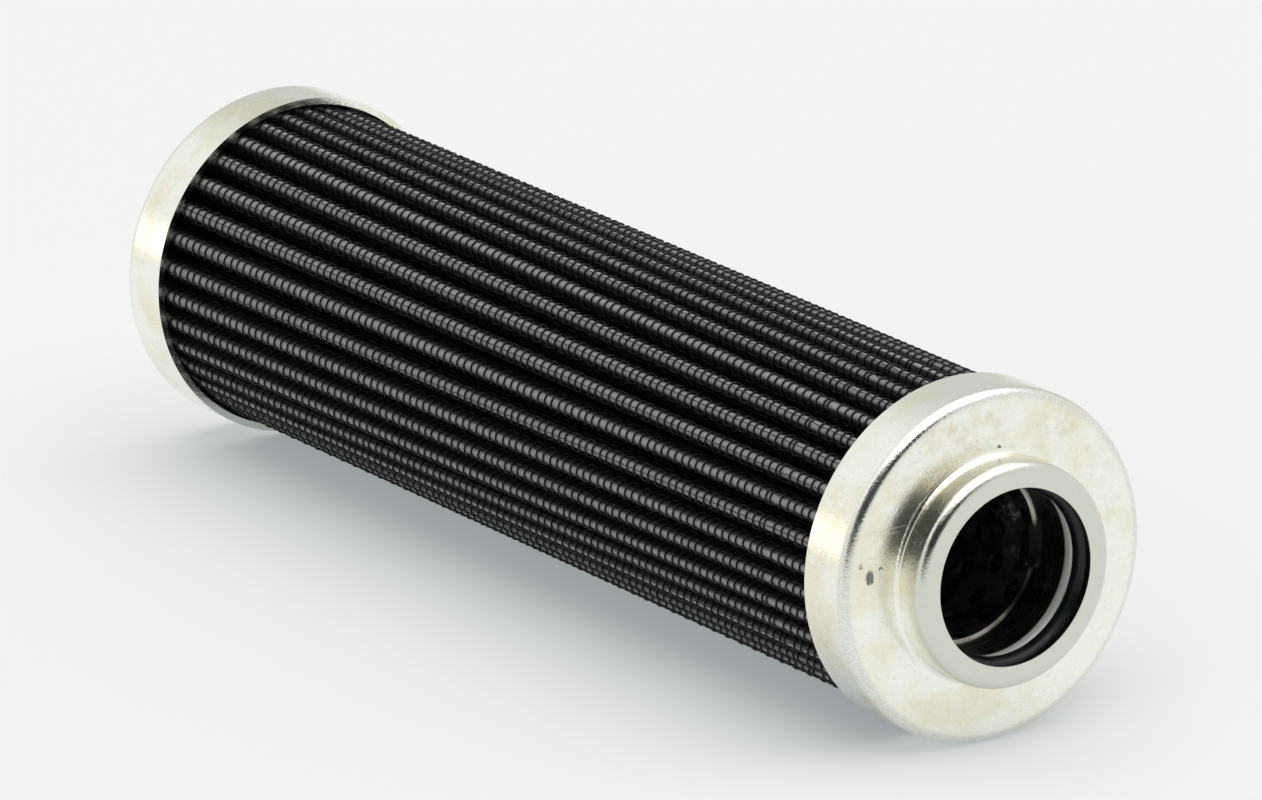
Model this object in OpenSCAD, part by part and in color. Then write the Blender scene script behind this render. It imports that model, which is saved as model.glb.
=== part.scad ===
// Pleated hydraulic filter element with one open neck.
// It stands on its closed cap: the origin is the middle of that cap's flat
// underside, +Z runs along the axis towards the open neck. Millimetres.

/* [Overall] */
// Outside diameter of both end caps
cap_diameter = 47; // [45:0.5:56]
// Length of pleats that shows between the two caps
open_length = 152.2; // [60:1:300]

/* [End caps] */
// Thickness of the drawn steel sheet of both caps
cap_sheet = 0.9; // [0.7:0.05:1.1]
// Height of each cap from its flat face to the edge of its skirt
cap_height = 8.3; // [7:0.1:12]
// Outer radius of the bend between the flat face and the skirt
shoulder_radius = 1.4; // [1.2:0.1:2]
// Gap between the pleat crests and the inside of the skirt
skirt_gap = 0.3; // [0.1:0.05:0.6]
// Depth of bonding resin in each cap
bond_depth = 3.2; // [2.2:0.1:4]
// Depth of the pleats in the bonding resin
bond_grip = 2.2; // [1:0.1:2.4]

/* [Neck] */
// Outside diameter of the neck, which the seal and the core tube follow
neck_diameter = 30; // [27:0.1:33]
// Height of the neck above the flat face of its cap
neck_height = 4.9; // [4.8:0.1:8]
// Outer radius of the bend at the front of the neck
nose_radius = 1.3; // [1.2:0.05:1.8]
// Radius of the hollow bend where the neck leaves the flat face
root_radius = 0.7; // [0.4:0.05:1]
// Width of the lip between the neck's outside and the bore punched in its front
lip_width = 3.2; // [2.9:0.05:3.3]

/* [Seal] */
// Gap between the o-ring and the inside of the neck
o_ring_room = 0.1; // [0.05:0.05:0.25]
// Thickness of the o-ring cord
o_ring_cord = 2.9; // [2.5:0.05:2.9]
// Room for the o-ring along the axis beyond its own thickness
o_ring_play = 0.2; // [0.1:0.05:0.4]
// Width of the collar of the sleeve that backs the o-ring
collar_width = 2.22; // [2:0.02:2.3]
// Thickness of the sleeve's sheet
sleeve_sheet = 0.5; // [0.4:0.05:0.6]
// Outer radius of the bend between the sleeve's collar and its bore
sleeve_bend = 1.1; // [0.8:0.05:1.3]
// Length of the sleeve from its collar to the core tube
sleeve_length = 7.9; // [6.5:0.1:10]

/* [Core tube] */
// Step from the bore of the sleeve in to the bore of the perforated core tube
core_step = 0.3; // [0.25:0.05:0.45]
// Thickness of the core tube's sheet
core_sheet = 0.7; // [0.5:0.05:0.8]
// Diameter of the drain holes
hole_diameter = 3; // [2:0.1:3.6]
// Distance between neighbouring holes in a row and between rows
hole_pitch = 4.8; // [4.6:0.1:8]
// Distance from each end of the tube to the middle of its nearest row of holes
bare_end = 2; // [2:0.1:20]
// Direction of one hole of the top row round the axis
hole_direction = 142.9; // [0:0.1:359]
// Width of the lapped seam along the tube
seam_width = 5.7; // [4:0.1:8]
// Direction of the lapped seam round the axis
seam_direction = 175; // [0:1:359]

/* [Pleats] */
// Number of pleats
pleat_count = 38; // [24:1:40]
// Direction of the joined pleat round the axis
joint_direction = 149.5; // [0:0.5:359]
// Gap between the folds and the tube or the sleeve that they stand round
core_gap = 0.12; // [0.05:0.01:0.3]
// Radius of the innermost sheet at the outer folds
crest_inner_radius = 0.25; // [0.15:0.05:0.35]
// Radius of the outermost sheet at the inner folds
root_outer_radius = 0.12; // [0.08:0.01:0.2]
// Least gap between neighbouring inner folds
fold_gap = 0.03; // [0.02:0.01:0.1]

/* [Layers] */
// Thickness of the outer wire mesh
outer_mesh_sheet = 0.3; // [0.2:0.01:0.34]
// Thickness of the pre-filter fleece
upstream_fleece_sheet = 0.1; // [0.06:0.01:0.14]
// Thickness of the glass fibre medium
glass_fibre_sheet = 0.2; // [0.1:0.01:0.24]
// Thickness of the fleece behind the glass fibre
downstream_fleece_sheet = 0.08; // [0.06:0.01:0.12]
// Thickness of the inner wire mesh
inner_mesh_sheet = 0.16; // [0.1:0.01:0.2]
// Gap between one layer and the next
layer_gap = 0.01; // [0.005:0.005:0.02]
// Distance between the lengthwise wires of the outer mesh
wire_pitch = 1.57; // [1.2:0.01:3]
// Height of a lengthwise wire above the outer mesh's own sheet
wire_ridge = 0.1; // [0.05:0.01:0.12]

/* [Hidden] */
$fn = 96;
// Clearance between pieces that are bonded or nested
fit_gap = 0.03;
// Extra reach of a cutter past the face that it opens
cut_over = 1;

// Heights along the axis, from the floor up
lower_rim = cap_height;
upper_rim = lower_rim + open_length;
upper_flat = upper_rim + cap_height;
lip_top = upper_flat + neck_height;
upper_ceiling = upper_flat - cap_sheet;
lip_underside = lip_top - cap_sheet;
collar_top = lip_underside - o_ring_cord - o_ring_play;
core_top = collar_top - sleeve_length;
pack_bottom = cap_sheet + bond_depth - bond_grip;
pack_top = upper_ceiling - bond_depth + bond_grip;

// Radii
cap_radius = cap_diameter / 2;
skirt_inside = cap_radius - cap_sheet;
neck_radius = neck_diameter / 2;
neck_inside = neck_radius - cap_sheet;
lip_bore_radius = neck_radius - lip_width;
o_ring_mid = neck_inside - o_ring_room - o_ring_cord / 2;
sleeve_inside = neck_inside - fit_gap - collar_width;
sleeve_outside = sleeve_inside + sleeve_sheet;
core_inside = sleeve_inside - core_step;
core_outside = core_inside + core_sheet;
pack_inside = max(core_outside, sleeve_outside) + core_gap;
pack_outside = skirt_inside - skirt_gap;

// Depth of each layer's outer face below the outermost face of the pack
upstream_fleece_at = outer_mesh_sheet + layer_gap;
glass_fibre_at = upstream_fleece_at + upstream_fleece_sheet + layer_gap;
downstream_fleece_at = glass_fibre_at + glass_fibre_sheet + layer_gap;
inner_mesh_at = downstream_fleece_at + downstream_fleece_sheet + layer_gap;
pack_sheet = inner_mesh_at + inner_mesh_sheet;

// One pleat: an outer fold round the crest centre, an inner fold round the
// root centre half a pitch further on, and a straight flank between them
half_pitch = 180 / pleat_count;
crest_radius = crest_inner_radius + pack_sheet;
root_width = root_outer_radius + pack_sheet;
crest_centre = pack_outside - wire_ridge - crest_radius;
root_centre = max(pack_inside + root_width, (root_width + fold_gap / 2) / sin(half_pitch));
flank_run = [root_centre * cos(half_pitch) - crest_centre, root_centre * sin(half_pitch)];
flank_reach = norm(flank_run);
bend_sum = crest_radius + root_outer_radius;
// Direction of the flank's outward normal, seen from the crest
flank_normal = atan2(flank_run[1], flank_run[0]) - acos(bend_sum / flank_reach);
flank_length = sqrt(flank_reach ^ 2 - bend_sum ^ 2);
crest_steps = 6;
root_steps = 4;

// Lengthwise wires of the outer mesh, which show on the crests and flanks
crest_wire_angle = wire_pitch / 2 / crest_radius * 180 / PI;
flank_wires = 3;
wire_half_width = 0.16;
first_flank_wire = 1.5 * wire_pitch - crest_radius * flank_normal * PI / 180;
last_flank_wire = first_flank_wire + (flank_wires - 1) * wire_pitch;

// Drain holes
core_mid = (core_inside + core_outside) / 2;
seam_angle = seam_width / core_mid * 180 / PI;
holes_in_row = floor(2 * PI * core_mid / hole_pitch);
hole_step = 360 / holes_in_row;
hole_rows = floor((core_top - cap_sheet - 2 * bare_end) / hole_pitch) + 1;
first_row = core_top - bare_end;

steel = "gainsboro";
bright_steel = "silver";
black_wire = "#1c1c1e";
fleece = "#b9bab6";
glass = "white";
resin = "#3a3833";
rubber = "#141a22";

function along(angle) = [cos(angle), sin(angle)];
function turned(p, angle) = [
    p[0] * cos(angle) - p[1] * sin(angle),
    p[0] * sin(angle) + p[1] * cos(angle)
];
function mirrored(points) = [for (i = [len(points) - 1:-1:0]) [points[i][0], -points[i][1]]];
function joined(lists) = [for (l = lists) for (p = l) p];

// A point of the outer fold, at a depth below the outermost face
function crest_point(depth, angle) =
    [crest_centre, 0] + (crest_radius - depth) * along(angle);

// A point of the inner fold, by the direction of the surface's normal
function root_point(depth, angle) =
    root_centre * along(half_pitch) - (root_outer_radius + depth) * along(angle);

// A point of the flank, by its distance from the end of the outer fold
function flank_point(depth, run) =
    crest_point(depth, flank_normal) + run * along(flank_normal + 90);

// Half a crest, from its top to the flank
function crest_half(depth) = [
    for (i = [0:crest_steps / 2]) crest_point(depth, flank_normal * i / (crest_steps / 2))
];

// The inner fold between this pleat's flank and the next one's
function root_fold(depth) = [
    for (i = [0:root_steps])
        root_point(depth, flank_normal + (half_pitch - flank_normal) * 2 * i / root_steps)
];

// Three points that raise a wire out of a flank or a crest
function crest_wire(angle) = let (half = wire_half_width / crest_radius * 180 / PI) [
    crest_point(0, angle - half), crest_point(-wire_ridge, angle), crest_point(0, angle + half)
];
function flank_wire(run) = [
    flank_point(0, run - wire_half_width),
    flank_point(-wire_ridge, run),
    flank_point(0, run + wire_half_width)
];
function wires() = concat(
    [crest_point(0, 0)],
    crest_wire(crest_wire_angle),
    [crest_point(0, flank_normal * 0.8)],
    joined([for (i = [0:flank_wires - 1]) flank_wire(first_flank_wire + i * wire_pitch)])
);

// One face of the pack, from the joined crest all the way round to its other
// side; half is the run of points from a crest's top down to its inner fold
function pack_face(depth, half) = joined([
    for (i = [0:pleat_count - 1]) [
        for (p = concat(
            i == 0 ? [flank_point(depth, 0)] : half,
            root_fold(depth),
            i == pleat_count - 1 ? [turned_back(flank_point(depth, 0))] : next_half(half)
        )) turned(p, i * 2 * half_pitch)
    ]
]);

// The next pleat's rising flank, up to but not including its crest's top
function turned_back(p) = turned([p[0], -p[1]], 2 * half_pitch);
function next_half(half) = [for (i = [len(half) - 1:-1:1]) turned_back(half[i])];

function reversed(points) = [for (i = [len(points) - 1:-1:0]) points[i]];

// Quarter of a disc, from first_angle to first_angle + 90
module quarter_disc(radius, first_angle) {
    intersection() {
        circle(r = radius);
        rotate(first_angle) square(radius + cut_over);
    }
}

// Quarter of a ring, from first_angle to first_angle + 90
module quarter_bend(inner, outer, first_angle) {
    difference() {
        quarter_disc(outer, first_angle);
        circle(r = inner);
    }
}

// A strip of sheet from one corner to another
module strip(from, to) {
    translate(from) square(to - from);
}

// Skirt, shoulder bend and flat face as far in as flat_inside, face upwards at z = 0
module cap_profile(flat_inside) {
    bend_at = cap_radius - shoulder_radius;
    strip([flat_inside, -cap_sheet], [bend_at, 0]);
    translate([bend_at, -shoulder_radius]) quarter_bend(shoulder_radius - cap_sheet, shoulder_radius, 0);
    strip([skirt_inside, -cap_height], [cap_radius, -shoulder_radius]);
}

module neck_profile() {
    nose_at = neck_radius - nose_radius;
    root_at = neck_radius + root_radius;
    translate([root_at, root_radius]) quarter_bend(root_radius, root_radius + cap_sheet, 180);
    strip([neck_inside, root_radius], [neck_radius, neck_height - nose_radius]);
    translate([nose_at, neck_height - nose_radius]) quarter_bend(nose_radius - cap_sheet, nose_radius, 0);
    strip([lip_bore_radius, neck_height - cap_sheet], [nose_at, neck_height]);
}

module upper_end_cap() {
    color(steel) translate([0, 0, upper_flat]) rotate_extrude() {
        cap_profile(neck_radius + root_radius);
        neck_profile();
    }
}

module lower_end_cap() {
    color(steel) mirror([0, 0, 1]) rotate_extrude() cap_profile(0);
}

module neck_o_ring() {
    ring_height = collar_top + fit_gap + o_ring_cord / 2;
    color(rubber) translate([0, 0, ring_height])
        rotate_extrude() translate([o_ring_mid, 0]) circle(d = o_ring_cord);
}

module seal_sleeve() {
    bend_at = sleeve_inside + sleeve_bend;
    color(bright_steel) translate([0, 0, collar_top]) rotate_extrude() {
        strip([bend_at, -sleeve_sheet], [neck_inside - fit_gap, 0]);
        translate([bend_at, -sleeve_bend]) quarter_bend(sleeve_bend - sleeve_sheet, sleeve_bend, 90);
        strip([sleeve_inside, -sleeve_length], [sleeve_outside, -sleeve_bend]);
    }
}

// Every second row is shifted half a step, and the holes pass through the lap too
module drain_holes() {
    cutter_from = core_inside - core_sheet - cut_over;
    cutter_length = 2 * core_sheet + 2 * cut_over;
    for (row = [0:hole_rows - 1], i = [0:holes_in_row - 1])
        translate([0, 0, first_row - row * hole_pitch])
            rotate(hole_direction + (i + (row % 2) / 2) * hole_step)
                translate([cutter_from, 0, 0]) rotate([0, 90, 0])
                    cylinder(d = hole_diameter, h = cutter_length);
}

module core_tube() {
    color(bright_steel) difference() {
        union() {
            difference() {
                translate([0, 0, cap_sheet]) cylinder(r = core_outside, h = core_top - cap_sheet);
                cylinder(r = core_inside, h = core_top + cut_over);
            }
            core_seam();
        }
        drain_holes();
    }
}

// The sheet's inner lap, which stands inside the tube along its whole length
module core_seam() {
    lap_root = core_inside + core_sheet / 2;
    translate([0, 0, cap_sheet]) rotate(seam_direction - seam_angle / 2)
        rotate_extrude(angle = seam_angle)
            strip([core_inside - core_sheet, 0], [lap_root, core_top - cap_sheet]);
}

module pleated_layer(depth, sheet, outer_half) {
    translate([0, 0, pack_bottom]) rotate(joint_direction)
        linear_extrude(pack_top - pack_bottom) polygon(concat(
            pack_face(depth, outer_half),
            reversed(pack_face(depth + sheet, crest_half(depth + sheet)))
        ));
}

module plain_layer(depth, sheet) {
    pleated_layer(depth, sheet, crest_half(depth));
}

module outer_wire_mesh() {
    color(black_wire) pleated_layer(0, outer_mesh_sheet, wires());
}

module upstream_fleece() {
    color(fleece) plain_layer(upstream_fleece_at, upstream_fleece_sheet);
}

module glass_fibre_medium() {
    color(glass) plain_layer(glass_fibre_at, glass_fibre_sheet);
}

module downstream_fleece() {
    color(fleece) plain_layer(downstream_fleece_at, downstream_fleece_sheet);
}

module inner_wire_mesh() {
    color(black_wire) plain_layer(inner_mesh_at, inner_mesh_sheet);
}

// Section of the resin that joins the two ends of the pack, with room round it: a
// blade between the last two flanks, and a bead over their cut edges in place of the
// crest's fold
module seam_section(room) {
    blade_depth = pack_sheet + fit_gap - room;
    blade_end = flank_length / 2 + room;
    blade = [for (run = [room - fit_gap, blade_end]) flank_point(blade_depth, run)];
    bead = [for (p = crest_half(-room)) p + [fit_gap, 0]];
    half = concat(bead, blade);
    polygon(concat(half, mirrored(half)));
}

module side_seam() {
    color(resin) translate([0, 0, pack_bottom]) rotate(joint_direction)
        linear_extrude(pack_top - pack_bottom) seam_section(0);
}

// A pleat's outer face with room for the wires that stand out of it, and as much again
// for the chords of the crest's fold
function wires_room(room) = let (raised = -wire_ridge - 2 * room, last = last_flank_wire + wire_half_width)
    concat(crest_half(raised), [flank_point(raised, last), flank_point(-room, last + wire_ridge)]);

// The pleats' end and their seam in section, with a little room on every side
module pack_pocket(height) {
    rotate(joint_direction) linear_extrude(height) {
        polygon(concat(
            pack_face(-fit_gap, wires_room(fit_gap)),
            reversed(pack_face(pack_sheet + fit_gap, crest_half(pack_sheet + fit_gap)))
        ));
        seam_section(fit_gap);
    }
}

// Half section of a bond on a cap's inner face, which lies at height 0
module bond_profile(inside) {
    bend = shoulder_radius - cap_sheet;
    bend_at = cap_radius - shoulder_radius;
    strip([inside, 0], [bend_at, bond_depth]);
    translate([bend_at, bend]) quarter_disc(bend - fit_gap, 270);
    strip([bend_at, bend], [skirt_inside - fit_gap, bond_depth]);
}

module upper_bond() {
    color(resin) difference() {
        translate([0, 0, upper_ceiling]) mirror([0, 0, 1])
            rotate_extrude() bond_profile(sleeve_outside + fit_gap);
        translate([0, 0, upper_ceiling - bond_depth - cut_over])
            pack_pocket(bond_grip + cut_over);
    }
}

module lower_bond() {
    color(resin) difference() {
        translate([0, 0, cap_sheet]) rotate_extrude() bond_profile(core_outside + fit_gap);
        translate([0, 0, pack_bottom]) pack_pocket(bond_grip + cut_over);
    }
}

upper_end_cap();
neck_o_ring();
seal_sleeve();
core_tube();
inner_wire_mesh();
downstream_fleece();
glass_fibre_medium();
upstream_fleece();
outer_wire_mesh();
side_seam();
upper_bond();
lower_bond();
lower_end_cap();
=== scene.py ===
"""Dresses a pleated hydraulic filter element: plated steel caps, seal, perforated core
tube, folded filter layers and the woven wire cloth that shows between the caps.

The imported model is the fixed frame. Lengths are in millimetres until a mesh is placed,
and the object stands on its closed cap with the axis along +Z. The photograph shows it
lying on a table, so the stage floor is the plane that touches it along its side.
"""
import logging
import math
import random
from dataclasses import dataclass, field
from enum import Enum
from typing import Callable, Sequence

import bmesh
import bpy
from mathutils import Matrix, Vector


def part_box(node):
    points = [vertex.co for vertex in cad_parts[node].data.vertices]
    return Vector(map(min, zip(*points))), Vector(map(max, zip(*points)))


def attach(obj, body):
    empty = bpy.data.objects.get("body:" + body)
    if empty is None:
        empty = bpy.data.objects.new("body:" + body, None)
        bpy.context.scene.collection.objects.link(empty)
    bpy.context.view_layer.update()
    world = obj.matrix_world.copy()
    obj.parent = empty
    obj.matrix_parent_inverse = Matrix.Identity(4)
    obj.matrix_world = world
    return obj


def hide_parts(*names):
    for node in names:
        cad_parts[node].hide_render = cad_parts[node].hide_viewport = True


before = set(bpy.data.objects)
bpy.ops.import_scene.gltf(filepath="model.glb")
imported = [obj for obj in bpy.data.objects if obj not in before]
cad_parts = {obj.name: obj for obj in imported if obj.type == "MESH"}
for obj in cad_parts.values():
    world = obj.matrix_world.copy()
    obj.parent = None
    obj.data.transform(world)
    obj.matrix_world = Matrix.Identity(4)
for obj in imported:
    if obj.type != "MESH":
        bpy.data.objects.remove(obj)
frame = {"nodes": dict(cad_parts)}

MM = 0.001
LOG = logging.getLogger("filter_element")

Colour = tuple[float, float, float]
Point2 = tuple[float, float]
Point3 = tuple[float, float, float]
Span = tuple[float, ...]
Socket = bpy.types.NodeSocket

# A height in millimetres that no part reaches
ABOVE_ALL = 1000.0
# The Mix node's share, two colours and result, whose names its other kinds use too
MIX_INPUTS = (0, 6, 7)
MIX_RESULT = 2


class Lay(Enum):
    """How a lengthwise wire of the cloth runs past the crosswise ones."""

    WOVEN = "over and under them"
    LAID = "on top of them"


def grey(level: float) -> Colour:
    """Returns a neutral colour of that linear level."""
    return (level, level, level)


def polar(radius: float, angle: float) -> Point2:
    """Returns the point at a radius and an angle in radians."""
    return (radius * math.cos(angle), radius * math.sin(angle))


@dataclass(frozen=True)
class Mark:
    """A stain, a dent, or a patch of painted highlight or painted shade on a surface.

    Attributes:
        centre: its middle, in millimetres.
        reach: its half sizes along X, Y and Z, in millimetres.
        strength: how much of its colour shows, from 0 to 1.
    """

    centre: Point3
    reach: Point3
    strength: float = 1.0


@dataclass(frozen=True)
class Grain:
    """The lumps of a noise.

    Attributes:
        size: their width, in millimetres.
        detail: how many finer levels they have.
        roughness: how strong the finer levels are.
        stretch: their scale along X, Y and Z, where less than 1 draws them out.
        seed: where the noise is cut from.
    """

    size: float
    detail: float
    roughness: float
    stretch: Point3 = (1, 1, 1)
    seed: float = 0.0


class NodeSheet:
    """A node tree that is written one node at a time."""

    def __init__(self, owner: bpy.types.Material | bpy.types.World, output: str) -> None:
        """Empties the owner's tree and gives it an output node.

        Args:
            owner: the material or world.
            output: the output node's type, without its ShaderNode prefix.
        """
        owner.use_nodes = True
        self.tree = owner.node_tree
        self.tree.nodes.clear()
        self.output = self.tree.nodes.new("ShaderNode" + output)
        self.coordinates = self.tree.nodes.new("ShaderNodeTexCoord")

    def add(self, kind: str, settings: dict | None = None, **sockets: object) -> bpy.types.Node:
        """Adds a node and sets or links its inputs.

        Args:
            kind: the node's type, without its ShaderNode prefix.
            settings: attributes of the node, such as its operation.
            sockets: input values or output sockets, by the input's name with _ for a
                blank, or by i and its number.

        Returns:
            The new node.
        """
        node = self.tree.nodes.new("ShaderNode" + kind)
        for name, value in (settings or {}).items():
            setattr(node, name, value)
        for name, value in sockets.items():
            numbered = name[0] == "i" and name[1:].isdigit()
            self.put(node.inputs[int(name[1:]) if numbered else name.replace("_", " ")], value)
        return node

    def put(self, socket: Socket, value: object) -> None:
        """Links another node's output to an input, or sets the input's value."""
        if isinstance(value, Socket):
            self.tree.links.new(value, socket)
        elif socket.type == "RGBA":
            socket.default_value = (*value, 1.0)
        else:
            socket.default_value = value

    def mapped(self, scale: Sequence[float], offset: Sequence[float] = (0, 0, 0)) -> Socket:
        """Returns Object coordinates times a scale, plus an offset."""
        node = self.add("Mapping", Vector=self.coordinates.outputs["Object"])
        node.inputs["Scale"].default_value = tuple(scale)
        node.inputs["Location"].default_value = tuple(offset)
        return node.outputs["Vector"]

    def length(self, vector: Socket) -> Socket:
        """Returns a vector's length."""
        return self.add("VectorMath", {"operation": "LENGTH"}, i0=vector).outputs["Value"]

    def height(self) -> Socket:
        """Returns the height along the axis, in millimetres."""
        return self.add("SeparateXYZ", Vector=self.mapped((1 / MM,) * 3)).outputs["Z"]

    def from_axis(self) -> Socket:
        """Returns the distance from the axis, in millimetres."""
        return self.length(self.mapped((1 / MM, 1 / MM, 0)))

    def noise(self, grain: Grain) -> Socket:
        """Returns a noise value with lumps of that grain."""
        scale = [1 / (grain.size * MM) * s for s in grain.stretch]
        place = self.mapped(scale, (grain.seed,) * 3)
        node = self.add("TexNoise", Vector=place, Scale=1.0, Detail=grain.detail,
                        Roughness=grain.roughness)
        return node.outputs["Fac"]

    def ramp(self, value: Socket, low: float, high: float,
             to_low: float = 0.0, to_high: float = 1.0) -> Socket:
        """Returns value taken from low..high to to_low..to_high, held at both ends."""
        node = self.add("MapRange", {"interpolation_type": "SMOOTHSTEP"}, Value=value, From_Min=low,
                        From_Max=high, To_Min=to_low, To_Max=to_high)
        return node.outputs["Result"]

    def maths(self, operation: str, a: object, b: object) -> Socket:
        """Returns one arithmetic operation on two values."""
        return self.add("Math", {"operation": operation}, i0=a, i1=b).outputs[0]

    def blend(self, share: object, a: object, b: object) -> Socket:
        """Returns colour a mixed with colour b by a share from 0 to 1."""
        node = self.tree.nodes.new("ShaderNodeMix")
        node.data_type = "RGBA"
        for index, value in zip(MIX_INPUTS, (share, a, b)):
            self.put(node.inputs[index], value)
        return node.outputs[MIX_RESULT]

    def spot(self, mark: Mark, edge: float) -> Socket:
        """Returns a mark's strength inside its soft ellipsoid and 0 outside it.

        Args:
            mark: the stain, dent, painted highlight or painted shade.
            edge: the share of its reach over which it fades.

        Returns:
            The mask's socket.
        """
        scale = [1 / (r * MM) for r in mark.reach]
        offset = [-c * MM * s for c, s in zip(mark.centre, scale)]
        inside = self.ramp(self.length(self.mapped(scale, offset)), 1.0 - edge, 1.0, 1.0, 0.0)
        return self.maths("MULTIPLY", inside, mark.strength)

    def bump(self, height: Socket, depth: float, strength: float,
             under: Socket | None = None) -> Socket:
        """Returns a normal raised by a height of up to depth millimetres."""
        node = self.add("Bump", Height=height, Distance=depth * MM, Strength=strength)
        if under is not None:
            self.tree.links.new(under, node.inputs["Normal"])
        return node.outputs["Normal"]

    def surface(self, shader: bpy.types.Node) -> None:
        """Links a shader to the output."""
        self.tree.links.new(shader.outputs[0], self.output.inputs["Surface"])


class Shader(NodeSheet):
    """A material of its own."""

    def __init__(self, name: str) -> None:
        """Starts an empty material of that name."""
        self.material = bpy.data.materials.new(name)
        super().__init__(self.material, "OutputMaterial")

    def close(self, **sockets: object) -> bpy.types.Material:
        """Adds the Principled shader, links it to the output and returns the material."""
        self.surface(self.add("BsdfPrincipled", **sockets))
        return self.material


@dataclass(frozen=True)
class PlatedSteel:
    """Satin zinc-plated steel of the caps, with handling stains and patches of painted shade in the
    stain colour.

    In each finish a Grain is a noise, and a Span is what a ramp or a bump takes: where a
    value starts and ends and what it turns into there, or a depth and a strength.
    """

    name: str
    shoulder_heights: Span
    bright: Colour = (0.95, 0.95, 0.89)
    warm: Colour = (0.88, 0.84, 0.68)
    speck: Colour = grey(0.45)
    # Colour of the stains, and of the painted shade among them
    stain_and_shade: Colour = (0.60, 0.47, 0.26)
    ding: Colour = (0.20, 0.21, 0.22)
    frosted: Colour = (0.70, 0.70, 0.63)
    grained: Colour = (0.72, 0.73, 0.71)
    neck_root: float = ABOVE_ALL
    neck_fade: float = 3.0
    shoulder_radii: Span = (21.9, 22.6)
    roughness: float = 0.16
    stains_and_shade: tuple[Mark, ...] = ()
    stain_and_shade_edge: float = 0.7
    dings: tuple[Mark, ...] = ()
    ding_edge: float = 0.5
    ding_bump: Span = (0.2, 0.7)
    clouds: Grain = Grain(9.0, 4.0, 0.6)
    cloud_warmth: Span = (0.42, 0.68)
    cloud_rough: Span = (0.3, 0.7, -0.05, 0.07)
    specks: Grain = Grain(0.35, 2.0, 0.6, seed=3.0)
    speck_share: Span = (0.55, 0.75, 0.0, 0.25)
    bend_grains: Grain = Grain(0.25, 3.0, 0.6, seed=11.0)
    grain_share: Span = (0.35, 0.65, 0.2, 1.0)
    rags: Grain = Grain(1.7, 5.0, 0.6)
    rag_share: Span = (0.3, 0.8)
    scratches: Grain = Grain(0.5, 2.0, 0.5, (0.05, 1, 1), 7.0)
    scratch_rough: Span = (0.62, 0.7, 0.0, 0.12)
    satin: Grain = Grain(0.3, 2.0, 0.6)
    satin_bump: Span = (0.05, 0.7)
    waves: Grain = Grain(2.6, 3.0, 0.5, seed=5.0)
    wave_bump: Span = (0.03, 0.35)
    drawn_satin: Span = (0.0, 1.0, 0.6, 1.0)
    drawn_rough: Span = (0.0, 1.0, 0.0, 0.04)

    def make(self) -> bpy.types.Material:
        """Builds the material, frosted where the sheet was drawn round a bend."""
        s = Shader(self.name)
        clouds = s.noise(self.clouds)
        colour = s.blend(s.ramp(clouds, *self.cloud_warmth), self.bright, self.warm)
        colour = s.blend(s.ramp(s.noise(self.specks), *self.speck_share), colour, self.speck)
        height = s.height()
        neck = s.ramp(height, self.neck_root, self.neck_root + self.neck_fade)
        colour = s.blend(neck, colour, self.frosted)
        bend = s.maths("MULTIPLY", s.ramp(s.from_axis(), *self.shoulder_radii),
                       s.ramp(height, *self.shoulder_heights))
        grains = s.ramp(s.noise(self.bend_grains), *self.grain_share)
        colour = s.blend(s.maths("MULTIPLY", bend, grains), colour, self.grained)
        ragged = s.ramp(s.noise(self.rags), *self.rag_share)
        # Each mark is a stain, except the one on the neck cap's skirt by the table, which is painted
        # shade
        for mark in self.stains_and_shade:
            patch = s.maths("MULTIPLY", s.spot(mark, self.stain_and_shade_edge), ragged)
            colour = s.blend(patch, colour, self.stain_and_shade)
        drawn = s.maths("MAXIMUM", neck, bend)
        rough = s.maths("ADD", s.ramp(clouds, *self.cloud_rough), self.roughness)
        rough = s.maths("ADD", rough, s.ramp(s.noise(self.scratches), *self.scratch_rough))
        rough = s.maths("ADD", rough, s.ramp(drawn, *self.drawn_rough))
        satin = s.maths("MULTIPLY", s.noise(self.satin), s.ramp(drawn, *self.drawn_satin))
        normal = s.bump(satin, *self.satin_bump)
        normal = s.bump(s.noise(self.waves), *self.wave_bump, normal)
        marks = None
        for mark in self.dings:
            patch = s.spot(mark, self.ding_edge)
            colour = s.blend(patch, colour, self.ding)
            marks = patch if marks is None else s.maths("MAXIMUM", marks, patch)
        if marks is not None:
            normal = s.bump(s.maths("SUBTRACT", 1.0, marks), *self.ding_bump, normal)
        return s.close(Base_Color=colour, Metallic=1.0, Roughness=rough, Normal=normal)


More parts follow.
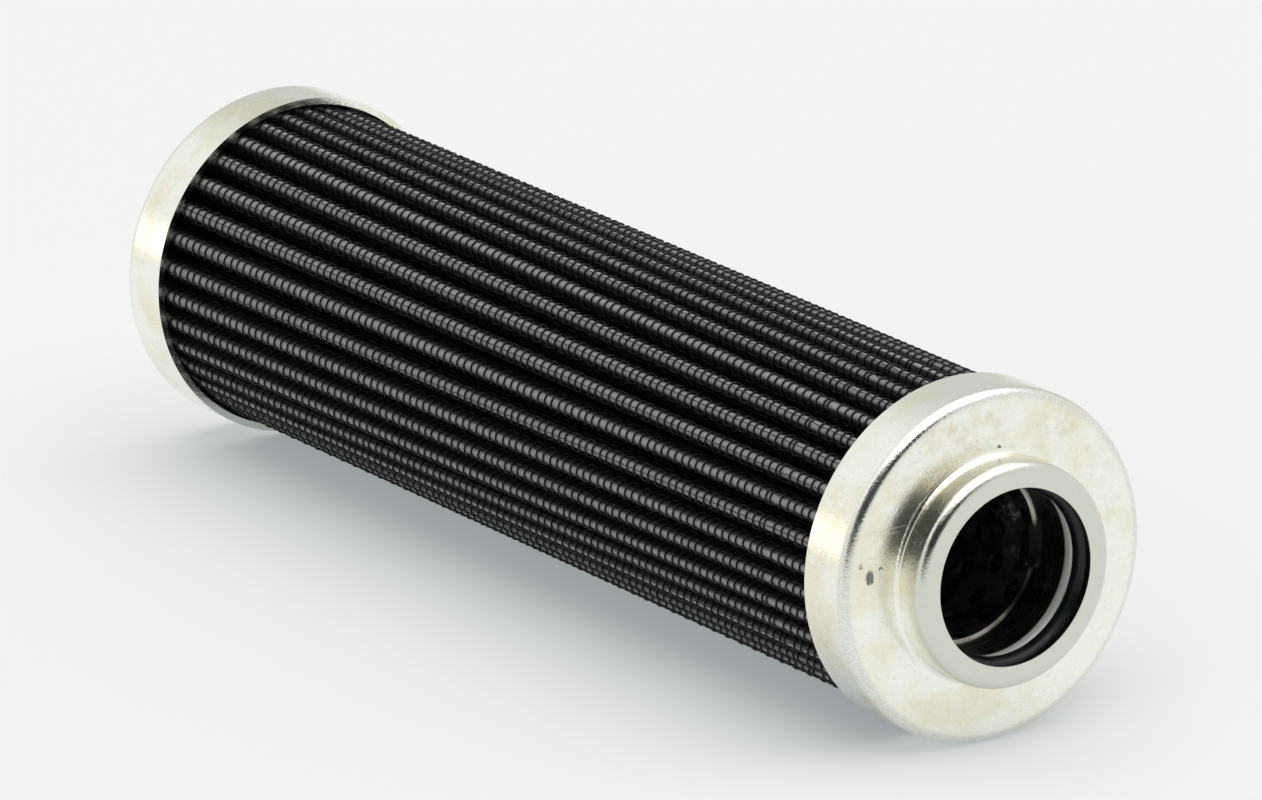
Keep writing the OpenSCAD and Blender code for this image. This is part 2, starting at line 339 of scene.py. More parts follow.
@dataclass(frozen=True)
class BrightSteel:
    """Rolled steel strip of the sleeve and the core tube, dark where oil has dried, with painted
    highlights.
    """

    name: str
    colour: Colour
    film: Colour
    roughness: float
    deposits: tuple[Mark, ...] = ()
    # The band at the top and the marked patches are painted highlights, lighter, rougher and less
    # metallic than the rest
    highlight_patches: tuple[Mark, ...] = ()
    highlight_from: float = ABOVE_ALL
    highlight_fade: float = 0.5
    highlight_edge: float = 0.7
    highlight_colour: Colour = (0.85, 0.86, 0.80)
    highlight_rough: Span = (0.0, 1.0, 0.0, 0.2)
    highlight_metal: Span = (0.0, 1.0, 1.0, 0.3)
    deposit: Colour = grey(0.015)
    deposit_edge: float = 0.35
    patches: Grain = Grain(5.0, 3.0, 0.5)
    film_share: Span = (0.39, 0.69)
    rags: Grain = Grain(0.8, 4.0, 0.7, seed=2.0)
    rag_share: Span = (0.45, 0.65)
    rings: Grain = Grain(0.4, 2.0, 0.5, (0.05, 0.05, 1))
    ring_rough: Span = (0.35, 0.7, -0.03, 0.05)
    ring_bump: Span = (0.008, 0.3)

    def make(self) -> bpy.types.Material:
        """Builds the material, with faint rings from rolling, and a painted highlight on the upper
        edge and on the marked patches.
        """
        s = Shader(self.name)
        tone = s.blend(s.ramp(s.noise(self.patches), *self.film_share), self.colour, self.film)
        for mark in self.deposits:
            tone = s.blend(s.spot(mark, self.deposit_edge), tone, self.deposit)
        # Painted highlight: the band at the top and the marked patches turn lighter, rougher and
        # less metallic
        highlight_mask = s.ramp(s.height(), self.highlight_from, self.highlight_from + self.highlight_fade)
        ragged = s.ramp(s.noise(self.rags), *self.rag_share)
        for mark in self.highlight_patches:
            patch = s.maths("MULTIPLY", s.spot(mark, self.highlight_edge), ragged)
            highlight_mask = s.maths("MAXIMUM", highlight_mask, patch)
        tone = s.blend(highlight_mask, tone, self.highlight_colour)
        rings = s.noise(self.rings)
        rough = s.maths("ADD", s.ramp(rings, *self.ring_rough), self.roughness)
        rough = s.maths("ADD", rough, s.ramp(highlight_mask, *self.highlight_rough))
        normal = s.bump(rings, *self.ring_bump)
        shine = s.ramp(highlight_mask, *self.highlight_metal)
        return s.close(Base_Color=tone, Metallic=shine, Roughness=rough, Normal=normal)


@dataclass(frozen=True)
class NitrileRubber:
    """Oiled blue-black rubber of the o-ring."""

    name: str = "nitrile_rubber"
    colour: Colour = (0.006, 0.008, 0.010)
    oiled: Colour = (0.010, 0.013, 0.016)
    gloss: float = 0.3
    film: Grain = Grain(2.5, 3.0, 0.5)
    film_share: Span = (0.4, 0.7)
    film_rough: Span = (0.35, 0.7, 0.22, 0.38)
    skin: Grain = Grain(0.3, 2.0, 0.6)
    skin_bump: Span = (0.01, 0.3)

    def make(self) -> bpy.types.Material:
        """Builds the material."""
        s = Shader(self.name)
        film = s.noise(self.film)
        colour = s.blend(s.ramp(film, *self.film_share), self.colour, self.oiled)
        return s.close(Base_Color=colour, Roughness=s.ramp(film, *self.film_rough),
                       Normal=s.bump(s.noise(self.skin), *self.skin_bump),
                       Specular_IOR_Level=self.gloss)


@dataclass(frozen=True)
class EpoxyWire:
    """Black epoxy-coated wire of a woven cloth."""

    name: str
    colour: Colour = (0.010, 0.010, 0.012)
    dusty: Colour = grey(0.035)
    roughness: float = 0.32
    gloss: float = 0.2
    dust: Grain = Grain(1.3, 4.0, 0.7)
    dust_share: Span = (0.5, 0.75, 0.0, 0.5)
    dust_rough: Span = (0.4, 0.7, -0.05, 0.15)
    skin: Grain = Grain(0.12, 2.0, 0.5)
    skin_bump: Span = (0.006, 0.3)

    def make(self) -> bpy.types.Material:
        """Builds the material."""
        s = Shader(self.name)
        dust = s.noise(self.dust)
        colour = s.blend(s.ramp(dust, *self.dust_share), self.colour, self.dusty)
        rough = s.maths("ADD", s.ramp(dust, *self.dust_rough), self.roughness)
        return s.close(Base_Color=colour, Roughness=rough,
                       Normal=s.bump(s.noise(self.skin), *self.skin_bump),
                       Specular_IOR_Level=self.gloss)


@dataclass(frozen=True)
class Fleece:
    """Pressed polyester or glass fibres, with painted shade between the crests."""

    name: str
    colour: Colour
    fibres: Grain = Grain(0.12, 3.0, 0.7, (1, 1, 0.35))
    fibre_shade: Span = (0.35, 0.65, 0.6, 0.0)
    fibre_bump: Span = (0.03, 0.6)
    clouds: Grain = Grain(6.0, 3.0, 0.6)
    cloud_shade: Span = (0.4, 0.7, 0.0, 0.25)
    shade: float = 0.62
    # Painted shade: the colour turns near black below the crests
    valley_shade: Colour = grey(0.008)
    valley_shade_share: Span = (21.46, 21.88, 0.95, 0.0)
    roughness: float = 0.62
    gloss: float = 0.1

    def make(self) -> bpy.types.Material:
        """Builds the material."""
        s = Shader(self.name)
        fibres = s.noise(self.fibres)
        dark = tuple(self.shade * c for c in self.colour)
        colour = s.blend(s.ramp(fibres, *self.fibre_shade), self.colour, dark)
        colour = s.blend(s.ramp(s.noise(self.clouds), *self.cloud_shade), colour, dark)
        # Painted shade, darker towards the axis in the valleys between the crests
        colour = s.blend(s.ramp(s.from_axis(), *self.valley_shade_share), colour, self.valley_shade)
        return s.close(Base_Color=colour, Roughness=self.roughness,
                       Normal=s.bump(fibres, *self.fibre_bump), Specular_IOR_Level=self.gloss)


@dataclass(frozen=True)
class Resin:
    """Dark cured bonding resin, slightly glossy, with small bubbles."""

    name: str = "bonding_resin"
    colour: Colour = (0.035, 0.032, 0.028)
    pale: Colour = grey(0.055)
    flow: Grain = Grain(2.0, 3.0, 0.5)
    flow_share: Span = (0.4, 0.7)
    flow_rough: Span = (0.3, 0.7, 0.25, 0.45)
    bubbles: Grain = Grain(0.7, 3.0, 0.5)
    bubble_bump: Span = (0.03, 0.5)

    def make(self) -> bpy.types.Material:
        """Builds the material."""
        s = Shader(self.name)
        flow = s.noise(self.flow)
        colour = s.blend(s.ramp(flow, *self.flow_share), self.colour, self.pale)
        return s.close(Base_Color=colour, Roughness=s.ramp(flow, *self.flow_rough),
                       Normal=s.bump(s.noise(self.bubbles), *self.bubble_bump))


@dataclass(frozen=True)
class PleatPack:
    """The folded stack of layers between the caps, as the solids have it.

    Depths run inwards from the outermost face. The folds are evenly spaced where they
    enter the caps, and lean a little apart and together along the open length.
    """

    bottom: float
    top: float
    closed_rim: float
    neck_rim: float
    outside: float = 22.2
    inside: float = 12.47
    count: int = 38
    joint_direction: float = math.radians(149.5)
    crest_radius: float = 1.13
    root_outer_radius: float = 0.12
    sheet: float = 0.88
    bond_grip: float = 2.2
    spread: Span = (0.06, 0.045, 0.01)
    squeeze: float = 0.05
    sway: float = 0.004
    sway_waves: int = 7
    sway_climb: float = 5.0

    @property
    def half_pitch(self) -> float:
        """Half the angle from one crest to the next."""
        return math.pi / self.count

    @property
    def crest_centre(self) -> float:
        """Radius at which the crests' folds have their centres."""
        return self.outside - self.crest_radius

    @property
    def root_centre(self) -> float:
        """Radius at which the inner folds have their centres."""
        return self.inside + self.root_outer_radius + self.sheet

    @property
    def fold_to_fold(self) -> Point2:
        """The way from an outer fold's centre to the next inner fold's."""
        x, y = polar(self.root_centre, self.half_pitch)
        return (x - self.crest_centre, y)

    @property
    def both_radii(self) -> float:
        """The radii of an outer and an inner fold together."""
        return self.crest_radius + self.root_outer_radius

    @property
    def flank_normal(self) -> float:
        """Direction of the flank's outward normal, seen from the crest."""
        x, y = self.fold_to_fold
        return math.atan2(y, x) - math.acos(self.both_radii / math.hypot(x, y))

    @property
    def crest_arc(self) -> float:
        """Length of half an outer fold, on the outermost face."""
        return self.crest_radius * self.flank_normal

    @property
    def flank_length(self) -> float:
        """Length of the straight flank between two folds."""
        return math.sqrt(math.hypot(*self.fold_to_fold) ** 2 - self.both_radii ** 2)

    def crest_point(self, depth: float, angle: float) -> Point2:
        """Returns a point of the outer fold by the direction of its normal."""
        x, y = polar(self.crest_radius - depth, angle)
        return (self.crest_centre + x, y)

    def flank_point(self, depth: float, run: float) -> Point2:
        """Returns a point of the flank by its distance from the end of the outer fold."""
        x, y = self.crest_point(depth, self.flank_normal)
        dx, dy = polar(run, self.flank_normal + math.pi / 2)
        return (x + dx, y + dy)

    def root_point(self, depth: float, angle: float) -> Point2:
        """Returns a point of the inner fold by the direction of its normal."""
        cx, cy = polar(self.root_centre, self.half_pitch)
        x, y = polar(self.root_outer_radius + depth, angle)
        return (cx - x, cy - y)

    def face(self, depth: float, crest_steps: int, root_steps: int) -> list[Point2]:
        """Walks the pack's section once round, from one side of the joint to the other.

        Args:
            depth: how far the face lies below the outermost one.
            crest_steps: spans over half an outer fold.
            root_steps: spans over an inner fold.

        Returns:
            The points of the open line, in millimetres.
        """
        normal = self.flank_normal
        half = [self.crest_point(depth, normal * i / crest_steps) for i in range(crest_steps + 1)]
        root = [self.root_point(depth, normal + (self.half_pitch - normal) * 2 * i / root_steps)
                for i in range(root_steps + 1)]
        rising = [self.mirrored(p) for p in reversed(half)]
        joint = [self.flank_point(depth, 0.0)]
        points: list[Point2] = []
        for index in range(self.count):
            first = joint if index == 0 else half
            last = [self.mirrored(joint[0])] if index == self.count - 1 else rising[:-1]
            points += [self.turned(p, index) for p in first + root + last]
        return points

    def mirrored(self, point: Point2) -> Point2:
        """Returns a point of this pleat's far flank on the next pleat's near one."""
        angle = math.atan2(-point[1], point[0]) + 2 * self.half_pitch
        return polar(math.hypot(*point), angle)

    def turned(self, point: Point2, index: float) -> Point2:
        """Returns a point of the first pleat on a later one."""
        angle = math.atan2(point[1], point[0]) + self.joint_direction + index * 2 * self.half_pitch
        return polar(math.hypot(*point), angle)

    def leaned(self, x: float, y: float, z: float) -> Vector:
        """Moves a point of the section round the axis by the lean of its fold.

        Args:
            x: first coordinate in the section.
            y: second coordinate in the section.
            z: height along the axis.

        Returns:
            The point in millimetres. Heights inside the resin are not moved.
        """
        along = (z - self.closed_rim) / (self.neck_rim - self.closed_rim)
        share = min(max(along, 0.0), 1.0)
        grip = self.bond_grip
        low_fade = (z - self.bottom - grip) / (self.closed_rim - self.bottom - grip)
        high_fade = (self.top - grip - z) / (self.top - grip - self.neck_rim)
        fade = min(max(min(low_fade, high_fade), 0.0), 1.0)
        angle = math.atan2(y, x)
        seen = angle - self.joint_direction + math.pi
        fan = sum(a * math.sin((i + 1) * seen) for i, a in enumerate(self.spread))
        crowd = -self.squeeze * math.sin(seen) ** 3
        wave = math.sin(self.sway_waves * seen + self.sway_climb * along) * math.sin(math.pi * share)
        wave *= self.sway * math.sin(seen) ** 2
        angle += fade * (fan * (1 - share) + crowd * share + wave)
        return Vector((*polar(math.hypot(x, y), angle), z))


def new_piece(name: str, mesh: bpy.types.Mesh, material: bpy.types.Material,
              node: str) -> bpy.types.Object:
    """Makes an object of a finished mesh that rides on the one body.

    Args:
        name: the piece's name.
        mesh: its mesh, in metres, in place.
        material: its finish.
        node: the solid that it stands for.

    Returns:
        The new object.
    """
    piece = bpy.data.objects.new(name, mesh)
    bpy.context.scene.collection.objects.link(piece)
    mesh.materials.clear()
    mesh.materials.append(material)
    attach(piece, "root")
    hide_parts(node)
    return piece


@dataclass
class FoldedLayer:
    """One closed sheet of the folded stack."""

    name: str
    slot: str
    pack: PleatPack
    depth: float
    thickness: float
    crest_steps: int = 4
    root_steps: int = 3
    spans: int = 7

    def heights(self) -> list[float]:
        """Returns the heights of the sheet's rings, closest where it leans inside a cap."""
        p = self.pack
        step = (p.neck_rim - p.closed_rim) / self.spans
        low = [p.bottom, p.bottom + p.bond_grip, (p.bottom + p.bond_grip + p.closed_rim) / 2]
        middle = [p.closed_rim + i * step for i in range(self.spans + 1)]
        high = [(p.top - p.bond_grip + p.neck_rim) / 2, p.top - p.bond_grip, p.top]
        return low + middle + high

    def build(self, material: bpy.types.Material) -> bpy.types.Object:
        """Raises the section ring by ring, leans the folds and gives the sheet its thickness.

        The points and faces are listed in a fixed order, so that every run gives the same mesh.
        """
        line = self.pack.face(self.depth, self.crest_steps, self.root_steps)
        heights = self.heights()
        row = len(line)
        points = [self.pack.leaned(x, y, z) * MM for z in heights for x, y in line]
        starts = [ring * row + i for ring in range(len(heights) - 1) for i in range(row - 1)]
        mesh = bpy.data.meshes.new(self.name)
        mesh.from_pydata(points, [], [(s, s + 1, s + row + 1, s + row) for s in starts])
        mesh.shade_smooth()
        piece = new_piece(self.name, mesh, material, self.name.removesuffix("_folds"))
        wall = piece.modifiers.new("thickness", "SOLIDIFY")
        wall.thickness = self.thickness * MM
        wall.offset = -1.0
        wall.use_even_offset = True
        wall.use_rim = True
        flat = self.flat_size()
        LOG.info("%s is cut %.4f m by %.4f m", self.name, *flat)
        return piece

    def flat_size(self) -> tuple[float, float]:
        """Returns the size that the sheet was cut to, in metres, along its middle."""
        line = self.pack.face(self.depth + self.thickness / 2, self.crest_steps, self.root_steps)
        width = sum(math.dist(a, b) for a, b in zip(line, line[1:]))
        return (width * MM, (self.pack.top - self.pack.bottom) * MM)


@dataclass
class WireCloth:
    """The woven black wire cloth that covers the pleats.

    Stout wires follow every fold round the pack, and thin ones run along it, over and
    under them. The bench name of the first is weft and of the second is warp.
    """

    pack: PleatPack
    slot: str = "outer_mesh_wire"
    pitch: float = 1.57
    weft_radius: float = 0.135
    weft_sides: int = 6
    weft_depth: float = 0.13
    weft_margin: float = 0.02
    weft_jitter: float = 0.07
    weft_slants: Span = (0.04, 0.09)
    missed_pick: float = 148.9
    missed_shift: float = 0.4
    crest_steps: int = 4
    root_steps: int = 2
    parts: int = 3
    warp_radius: float = 0.065
    warp_sides: int = 4
    warp_over: float = -0.03
    warp_under: float = 0.235
    warp_drift: float = 0.6
    shown_warps: int = 3
    hidden_warps: int = 3
    laid_step: int = 12
    root_room: float = 1.0
    seed: int = 1650

    def weft_heights(self) -> list[float]:
        """Returns the weft wires' heights, with a missed pick near the neck cap."""
        chance = random.Random(self.seed)
        edge = self.weft_radius + self.weft_margin
        count = int((self.pack.top - self.pack.bottom - 2 * edge) / self.pitch)
        heights = []
        for index in range(count + 1):
            z = self.pack.top - edge - index * self.pitch
            z += chance.uniform(-self.weft_jitter, self.weft_jitter)
            if abs(z - self.missed_pick) < self.pitch / 2:
                z -= self.missed_shift * self.pitch
            heights.append(max(z, self.pack.bottom + edge))
        return heights

    def weft_line(self, z: float, chance: random.Random) -> list[Vector]:
        """Returns one weft wire's centre line."""
        phase = chance.uniform(0, 2 * math.pi)
        slant = chance.uniform(*self.weft_slants)
        line = []
        for x, y in self.pack.face(self.weft_depth, self.crest_steps, self.root_steps):
            angle = math.atan2(y, x)
            lift = slant * math.sin(2 * angle + phase)
            height = min(max(z + lift, self.pack.bottom + self.weft_radius),
                         self.pack.top - self.weft_radius)
            line.append(self.pack.leaned(x, y, height))
        return line

    def warp_line(self, place: Callable[[float, float], Point2], run: float, drift: float,
                  heights: Sequence[float], lay: Lay) -> list[Vector]:
        """Returns one warp wire's centre line.

        Args:
            place: gives a point of the section by its depth and its run along the sheet.
            run: where the wire lies along the sheet.
            drift: how far it wanders along the sheet from end to end.
            heights: the weft wires' heights, from the top down.
            lay: how it runs past the weft wires.

        Returns:
            The line's points in millimetres, from the top down.
        """
        levels = [self.pack.top, *heights[1:-1], self.pack.bottom]
        if lay is Lay.LAID:
            levels = levels[::self.laid_step] + [self.pack.bottom]
        line = []
        for index, z in enumerate(levels):
            share = (z - self.pack.bottom) / (self.pack.top - self.pack.bottom)
            under = lay is Lay.WOVEN and index % 2 == 0
            depth = self.warp_under if under else self.warp_over
            x, y = place(depth, run + drift * (share - 0.5))
            line.append(self.pack.leaned(x, y, z))
        return line

    def sheet_place(self, pleat: int) -> Callable[[float, float], Point2]:
        """Returns the way from a depth and a run from the crest's top to a point of the section."""
        pack = self.pack
        bend = pack.crest_arc

        def place(depth: float, run: float) -> Point2:
            """Returns the section's point at that depth and run."""
            if abs(run) < bend:
                point = pack.crest_point(depth, run / pack.crest_radius)
            else:
                x, y = pack.flank_point(depth, abs(run) - bend)
                point = (x, math.copysign(y, run))
            return pack.turned(point, pleat)

        return place

    def tubes(self, name: str, lines: Sequence[Sequence[Vector]], radius: float,
              sides: int) -> bpy.types.Mesh:
        """Sweeps a round section along each line and returns one mesh in metres."""
        curve = bpy.data.curves.new(name, "CURVE")
        curve.dimensions = "3D"
        curve.bevel_depth = radius * MM
        curve.bevel_resolution = (sides - 4) // 2
        curve.use_fill_caps = True
        for line in lines:
            spline = curve.splines.new("POLY")
            spline.points.add(len(line) - 1)
            spline.points.foreach_set("co", [c for p in line for c in (*(p * MM), 1.0)])
        carrier = bpy.data.objects.new(name, curve)
        bpy.context.scene.collection.objects.link(carrier)
        bpy.context.view_layer.update()
        shape = carrier.evaluated_get(bpy.context.evaluated_depsgraph_get())
        mesh = bpy.data.meshes.new_from_object(shape)
        mesh.name = name
        bpy.data.objects.remove(carrier)
        bpy.data.curves.remove(curve)
        mesh.shade_smooth()
        return mesh

    def build(self, material: bpy.types.Material) -> list[bpy.types.Object]:
        """Builds the weft wires in a few pieces and the warp wires in two."""
        chance = random.Random(self.seed + 1)
        heights = self.weft_heights()
        pieces = []
        share = math.ceil(len(heights) / self.parts)
        for part in range(self.parts):
            lines = [self.weft_line(z, chance) for z in heights[part * share:(part + 1) * share]]
            name = f"outer_mesh_weft_{part + 1}"
            mesh = self.tubes(name, lines, self.weft_radius, self.weft_sides)
            pieces.append(new_piece(name, mesh, material, "outer_wire_mesh"))
        shown, hidden = self.warp_lines(heights, chance)
        for name, lines in (("outer_mesh_warp_crests", shown), ("outer_mesh_warp_flanks", hidden)):
            mesh = self.tubes(name, lines, self.warp_radius, self.warp_sides)
            pieces.append(new_piece(name, mesh, material, "outer_wire_mesh"))
        return pieces

    def warp_lines(self, heights: Sequence[float],
                   chance: random.Random) -> tuple[list[list[Vector]], list[list[Vector]]]:
        """Returns the warp wires of the crests and those of the flanks."""
        shown, hidden = [], []
        reach = self.shown_warps // 2
        last_step = reach + self.hidden_warps
        last_run = self.pack.crest_arc + self.pack.flank_length - self.root_room
        for pleat in range(1, self.pack.count):
            place = self.sheet_place(pleat)
            start = chance.uniform(-0.5, 0.5) * self.pitch
            drift = chance.uniform(-self.warp_drift, self.warp_drift)
            for step in range(-last_step, last_step + 1):
                run = start + step * self.pitch
                if abs(run) > last_run:
                    continue
                lay = Lay.WOVEN if abs(step) <= reach + 1 else Lay.LAID
                line = self.warp_line(place, run, drift, heights, lay)
                (shown if lay is Lay.WOVEN else hidden).append(line)
        return shown, hidden


@dataclass
class Camera:
    """The photograph's camera, long lens from above the neck."""

    place: Point3 = (928.303, -518.371, 1439.169)
    aim: Point3 = (-0.506, -0.908, 86.762)
    sky: Point3 = (0.0, -1.0, 0.0)
    lens: float = 371.46
    sensor: float = 36.0
    clip: Span = (0.05, 50.0)

    def build(self) -> None:
        """Makes the scene's camera."""
        data = bpy.data.cameras.new("camera")
        data.lens = self.lens
        data.sensor_width = self.sensor
        data.clip_start, data.clip_end = self.clip
        camera = bpy.data.objects.new("camera", data)
        bpy.context.scene.collection.objects.link(camera)
        sight = (Vector(self.aim) - Vector(self.place)).normalized()
        right = sight.cross(Vector(self.sky)).normalized()
        up = right.cross(sight)
        turn = Matrix((right, up, -sight)).transposed().to_4x4()
        camera.matrix_world = Matrix.Translation(Vector(self.place) * MM) @ turn
        bpy.context.scene.camera = camera


@dataclass(frozen=True)
class Lobe:
    """A part of the surroundings that glossy surfaces mirror.

    Attributes:
        side: the direction of its middle.
        reach: the angles from it, in degrees, where it starts to fade and ends.
        colour: what is mirrored there.
    """

    side: Point3
    reach: Span
    colour: Colour

    def share(self, s: NodeSheet) -> Socket:
        """Returns 1 for the world's directions near the side and 0 away from it."""
        middle = tuple(Vector(self.side).normalized())
        sight = s.coordinates.outputs["Generated"]
        dot = s.add("VectorMath", {"operation": "DOT_PRODUCT"}, i0=sight, i1=middle)
        inner, outer = (math.cos(math.radians(a)) for a in self.reach)
        return s.ramp(dot.outputs["Value"], outer, inner)


@dataclass
class Studio:
    """Pale table top beside the object, soft lamps and a white room with a dark side."""

    table_y: float
    table_reach: float = 6.0
    table_colour: Colour = (0.605, 0.585, 0.572)
    table_glow: Colour = (0.288, 0.316, 0.324)
    backdrop: Colour = (0.893, 0.903, 0.893)
    fill: float = 0.5
    fill_colour: Colour = (0.96, 1.0, 1.01)
    lamp_colour: Colour = (1.0, 0.985, 0.965)
    lamp_softness: float = math.radians(80)
    key: float = 1.65
    key_from: Point3 = (-0.05, -1.0, 0.15)
    back: float = 0.5
    back_from: Point3 = (0.2, 1.0, 0.5)
    lobes: tuple[Lobe, ...] = (
        Lobe((-0.54, -0.301, -0.786), (5.0, 45.0), (0.62, 0.64, 0.62)),
        Lobe((0.46, -0.46, 0.76), (32.0, 52.0), (0.02, 0.025, 0.024)),
        Lobe((0.119, -0.839, 0.53), (4.0, 13.0), grey(1.3)),
        Lobe((0.76, -0.61, -0.2), (5.0, 14.0), grey(1.3)),
        Lobe((0.617, 0.037, -0.786), (2.0, 13.0), (2.6, 2.4, 2.0)),
    )

    def build(self) -> None:
        """Makes the table, the lamps and the world."""
        bpy.context.scene.view_settings.view_transform = "Standard"
        bm = bmesh.new()
        bmesh.ops.create_grid(bm, x_segments=1, y_segments=1, size=self.table_reach)
        bmesh.ops.rotate(bm, verts=bm.verts, matrix=Matrix.Rotation(math.pi / 2, 3, "X"))
        bmesh.ops.translate(bm, verts=bm.verts, vec=(0, self.table_y, 0))
        mesh = bpy.data.meshes.new("table_top")
        bm.to_mesh(mesh)
        bm.free()
        table = bpy.data.objects.new("table_top", mesh)
        bpy.context.scene.collection.objects.link(table)
        mesh.materials.append(self.table_finish())
        self.lamp("key_lamp", self.key, self.key_from)
        self.lamp("back_lamp", self.back, self.back_from)
        self.world()

    def table_finish(self) -> bpy.types.Material:
        """A matt pale top, lit from within a little, that is seen from its upper side only."""
        s = Shader("table_paint")
        paint = s.add("BsdfDiffuse", Color=self.table_colour)
        glow = s.add("Emission", Color=self.table_glow)
        top = s.add("AddShader", i0=paint.outputs[0], i1=glow.outputs[0])
        clear = s.add("BsdfTransparent")
        side = s.add("NewGeometry").outputs["Backfacing"]
        s.surface(s.add("MixShader", Fac=side, i1=top.outputs[0], i2=clear.outputs[0]))
        return s.material

    def lamp(self, name: str, strength: float, origin: Point3) -> None:
        """Makes a broad distant lamp that shines from a direction."""
        data = bpy.data.lights.new(name, "SUN")
        data.energy = strength
        data.color = self.lamp_colour
        data.angle = self.lamp_softness
        lamp = bpy.data.objects.new(name, data)
        lamp.rotation_euler = Vector(origin).to_track_quat("Z", "Y").to_euler()
        bpy.context.scene.collection.objects.link(lamp)

    def world(self) -> None:
        """Fills the shadows, and shows glossy surfaces a white room with a dark side."""
        bpy.context.scene.world = bpy.data.worlds.new("studio")
        s = NodeSheet(bpy.context.scene.world, "OutputWorld")
        seen = s.add("Background", Color=self.backdrop, Strength=1.0)
        felt = s.add("Background", Color=self.fill_colour, Strength=self.fill)
        shine: object = self.backdrop
        for lobe in self.lobes:
            shine = s.blend(lobe.share(s), shine, lobe.colour)
        mirrored = s.add("Background", Color=shine, Strength=1.0)
        ray = s.add("LightPath")
        sight = s.maths("MAXIMUM", ray.outputs["Is Camera Ray"], ray.outputs["Is Transmission Ray"])
        indirect = s.add("MixShader", Fac=ray.outputs["Is Glossy Ray"], i1=felt.outputs[0],
                         i2=mirrored.outputs[0])
        s.surface(s.add("MixShader", Fac=sight, i1=indirect.outputs[0], i2=seen.outputs[0]))


def bottom_of(name: str) -> float:
    """Returns the height of a solid's bottom, in millimetres."""
    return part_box(name)[0].z / MM


def top_of(name: str) -> float:
    """Returns the height of a solid's top, in millimetres."""
    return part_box(name)[1].z / MM


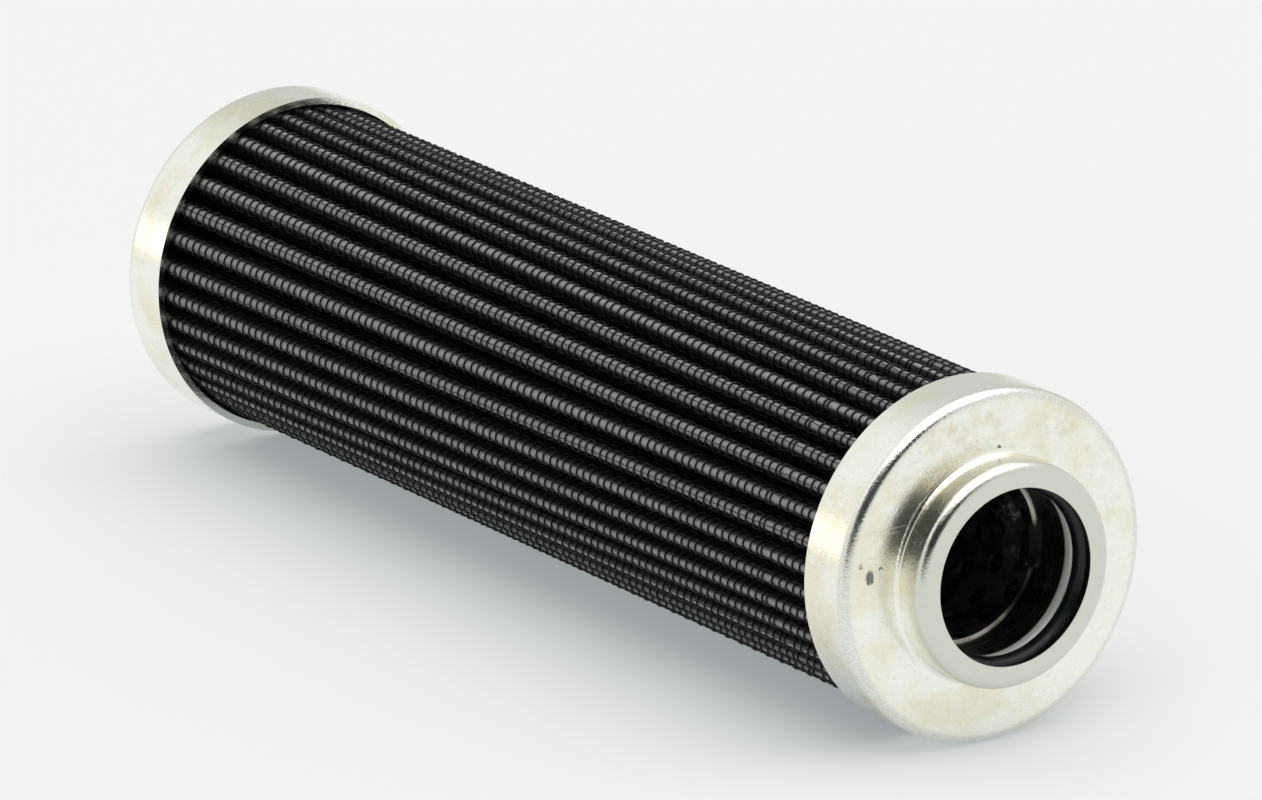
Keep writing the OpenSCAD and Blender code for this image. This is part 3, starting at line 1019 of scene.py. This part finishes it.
@dataclass
class FilterElement:
    """The whole filter element: finishes on its solids, and its folded layers as meshes."""

    nodes: dict[str, bpy.types.Object] = field(default_factory=lambda: frame["nodes"])
    cap_sheet: float = 0.9
    root_bend: float = 1.0
    shoulder_bend: Span = (1.7, 0.9)
    # Depth of the painted highlight band at the top of the sleeve
    collar_highlight_depth: float = 1.8

    def pack(self) -> PleatPack:
        """Returns the pleats' measures, with their heights taken from the frame."""
        return PleatPack(bottom_of("outer_wire_mesh"), top_of("outer_wire_mesh"),
                         top_of("lower_end_cap"), bottom_of("upper_end_cap"))

    def finish_node(self, name: str, material: bpy.types.Material) -> None:
        """Gives a solid its finish."""
        node = self.nodes[name]
        node.data.materials.clear()
        node.data.materials.append(material)
        LOG.info("%s is finished in %s", name, material.name)

    def dress_caps(self) -> None:
        """Finishes both caps, and gives the near one the photograph's stains and dents, and painted
        shade on its skirt next to the table.
        """
        face = top_of("upper_bond") + self.cap_sheet
        stains_and_shade = (
            Mark((-9.6, -17.4, face), (6.0, 4.4, 2.0), 0.4),
            Mark((-16.5, -11.5, face), (4.5, 5.0, 2.0), 0.25),
            Mark((5.0, -19.4, face), (11.0, 5.0, 2.0), 0.5),
            Mark((12.5, -14.5, face), (6.0, 4.5, 2.0), 0.3),
            # Painted shade: darkens the skirt's underside next to the table top
            Mark((13.0, 19.0, face - 5.0), (8.0, 6.0, 4.5), 0.7),
            Mark((22.9, -4.5, face - 6.0), (2.5, 5.0, 4.0), 0.4),
            Mark((21.5, 9.0, face - 5.5), (4.0, 9.0, 4.5), 0.4),
            Mark((17.0, 16.0, face - 2.0), (5.0, 4.5, 2.6), 0.6),
        )
        dings = (
            Mark((19.2, -2.2, face), (0.75, 1.15, 0.5)),
            Mark((20.6, -3.9, face), (0.35, 0.5, 0.4), 0.5),
            Mark((17.5, -3.1, face), (0.45, 0.3, 0.4), 0.7),
            Mark((-0.8, -15.95, face), (0.3, 0.3, 0.4)),
        )
        neck = PlatedSteel("neck_cap_steel", stains_and_shade=stains_and_shade, dings=dings,
                           neck_root=face + self.root_bend,
                           shoulder_heights=tuple(face - depth for depth in self.shoulder_bend))
        self.finish_node("upper_end_cap", neck.make())
        closed = PlatedSteel("closed_cap_steel", shoulder_heights=self.shoulder_bend)
        self.finish_node("lower_end_cap", closed.make())

    def dress_bore(self) -> None:
        """Finishes the sleeve, the core tube and the seal."""
        # The sleeve's top band is a painted highlight on the bend under the seal
        sleeve = BrightSteel("sleeve_steel", (0.62, 0.60, 0.56), (0.40, 0.36, 0.31), 0.24,
                             highlight_from=top_of("seal_sleeve") - self.collar_highlight_depth)
        self.finish_node("seal_sleeve", sleeve.make())
        tube_end = top_of("core_tube")
        lap_end = Mark((-11.2, 1.0, tube_end), (1.4, 4.0, 0.3))
        # Painted highlights: lighter patches on the core tube's wall just below its end
        core_highlight_patches = (
            Mark((-11.3, -2.4, tube_end - 5.5), (2.0, 4.0, 4.5), 0.8),
            Mark((-11.2, 2.8, tube_end - 4.0), (2.0, 1.6, 3.0), 0.5),
        )
        core = BrightSteel("core_tube_steel", (0.70, 0.69, 0.65), (0.14, 0.12, 0.10), 0.31,
                           deposits=(lap_end,), highlight_patches=core_highlight_patches)
        self.finish_node("core_tube", core.make())
        self.finish_node("neck_o_ring", NitrileRubber().make())

    def dress_resin(self) -> None:
        """Finishes both bonds and the side seam."""
        resin = Resin().make()
        for name in ("upper_bond", "lower_bond", "side_seam"):
            self.finish_node(name, resin)

    def build_pleats(self) -> None:
        """Builds the folded layers and the wire cloth."""
        pack = self.pack()
        layers = (
            (FoldedLayer("upstream_fleece_folds", "pre_filter_fleece", pack, 0.31, 0.1, 5),
             Fleece("pre_filter_fleece", grey(0.35))),
            (FoldedLayer("glass_fibre_medium_folds", "glass_fibre", pack, 0.42, 0.2),
             Fleece("glass_fibre", (0.78, 0.78, 0.76), Grain(0.08, 3.0, 0.7, (1, 1, 0.35)))),
            (FoldedLayer("downstream_fleece_folds", "support_fleece", pack, 0.63, 0.08),
             Fleece("support_fleece", (0.6, 0.6, 0.58))),
            (FoldedLayer("inner_wire_mesh_folds", "inner_mesh_wire", pack, 0.72, 0.16, 3),
             EpoxyWire("inner_mesh_wire")),
        )
        for layer, finish in layers:
            piece = layer.build(finish.make())
            LOG.info("%s has %d faces", piece.name, len(piece.data.polygons))
        for piece in WireCloth(pack).build(EpoxyWire("outer_mesh_wire").make()):
            LOG.info("%s has %d faces", piece.name, len(piece.data.polygons))


def main() -> None:
    """Builds the camera, the stage and the filter element, in that order."""
    logging.basicConfig(level=logging.INFO)
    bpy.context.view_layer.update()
    Camera().build()
    table_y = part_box("lower_end_cap")[1].y
    Studio(table_y).build()
    element = FilterElement()
    element.dress_caps()
    element.dress_bore()
    element.dress_resin()
    element.build_pleats()


if __name__ == "__main__":
    main()
